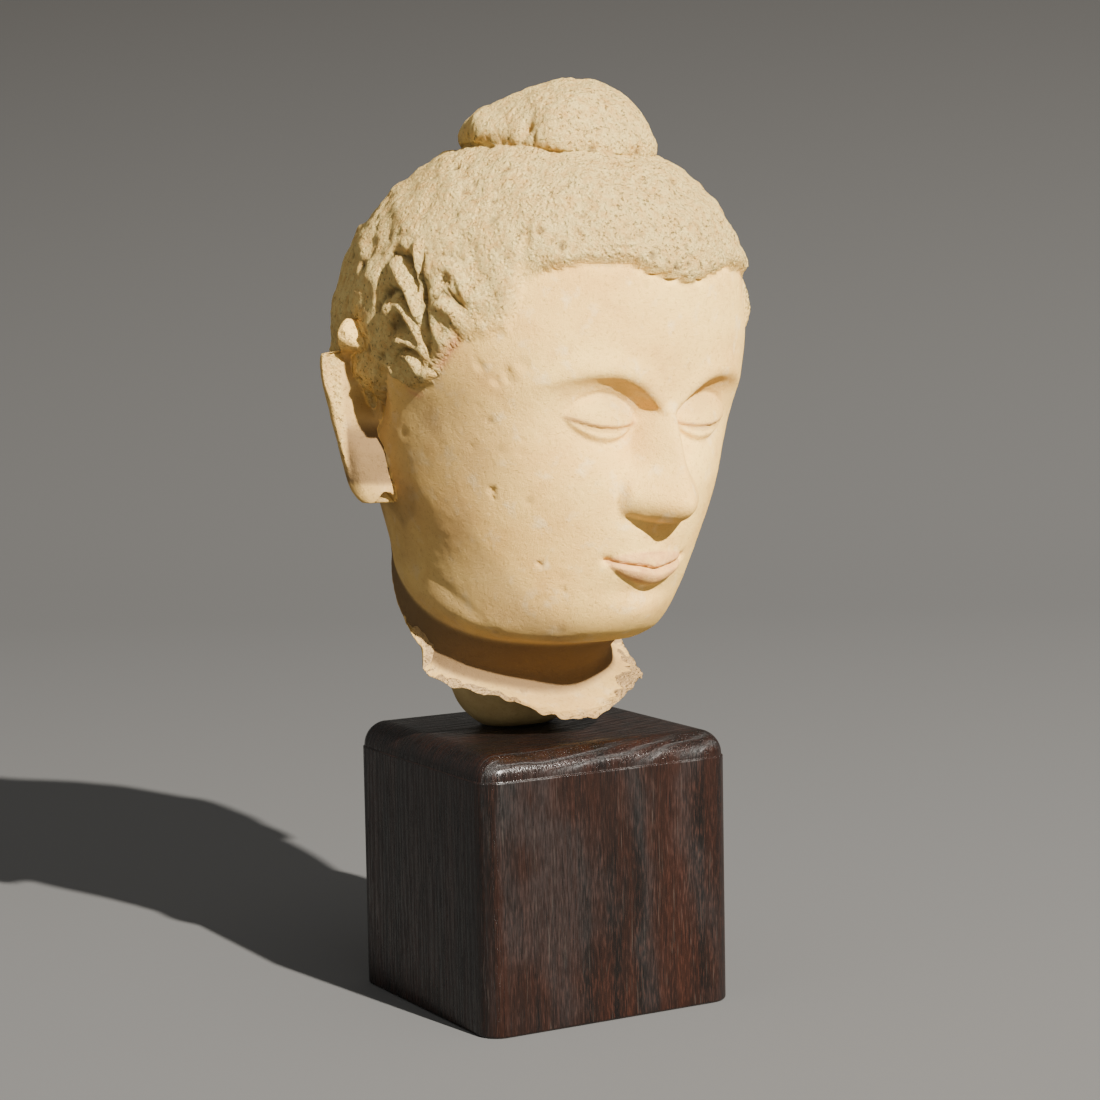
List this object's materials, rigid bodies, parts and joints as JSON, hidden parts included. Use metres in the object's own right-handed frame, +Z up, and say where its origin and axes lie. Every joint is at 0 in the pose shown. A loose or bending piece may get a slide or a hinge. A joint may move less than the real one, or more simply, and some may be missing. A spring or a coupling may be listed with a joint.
{
  "type": "stucco buddha head",
  "caption": "Broken stucco head with a worn top-knot, temple locks and half-closed eyes, resting on a rounded block of dark wood.",
  "frame": {"origin": "centre of the block's underside", "axes": "+Z up through the head, -Y towards the block's front, +X to the block's left"},
  "size_m": [0.1598, 0.1576, 0.3349],
  "materials": {
    "stucco": "worn lime stucco, cream to ochre, smooth on the face and granular on the hair",
    "dark_oak": "dark stained oak, open grain, satin"
  },
  "bodies": {
    "root": {"stucco_head": "stucco", "wood_block": "dark_oak"}
  },
  "joints": []
}
